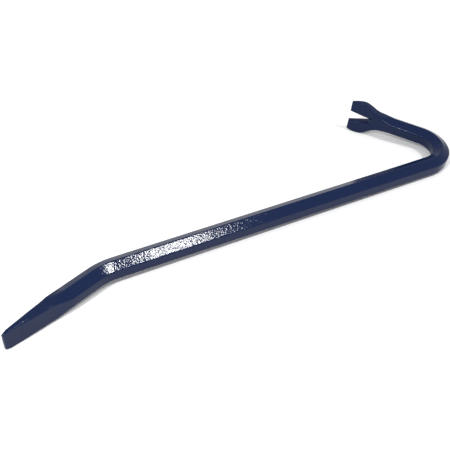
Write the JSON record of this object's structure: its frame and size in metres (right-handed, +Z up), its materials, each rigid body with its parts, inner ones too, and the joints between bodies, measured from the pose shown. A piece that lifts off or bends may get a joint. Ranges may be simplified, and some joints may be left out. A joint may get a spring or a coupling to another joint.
{
  "type": "pry bar",
  "caption": "Gooseneck pry bar forged from hexagonal steel bar, with a slotted nail claw on the hooked end and a flat angled chisel on the other, enamelled navy blue.",
  "frame": {"origin": "on the floor under the middle of the bar as it lies on its side", "axes": "+X along the shank from the chisel end to the hooked end, +Y to the side that the hook turns to, +Z up from the floor that the bar lies on"},
  "size_m": [0.4544, 0.1358, 0.0367],
  "materials": {
    "navy_enamel": "gloss"
  },
  "bodies": {
    "root": {"shank": "navy_enamel", "heel_bend": "navy_enamel", "chisel_neck": "navy_enamel", "chisel_taper": "navy_enamel", "chisel_blade": "navy_enamel", "gooseneck_bend": "navy_enamel", "hook_arm": "navy_enamel", "claw_neck": "navy_enamel", "claw_palm": "navy_enamel", "claw_tine_upper": "navy_enamel", "claw_tine_lower": "navy_enamel"}
  },
  "joints": []
}
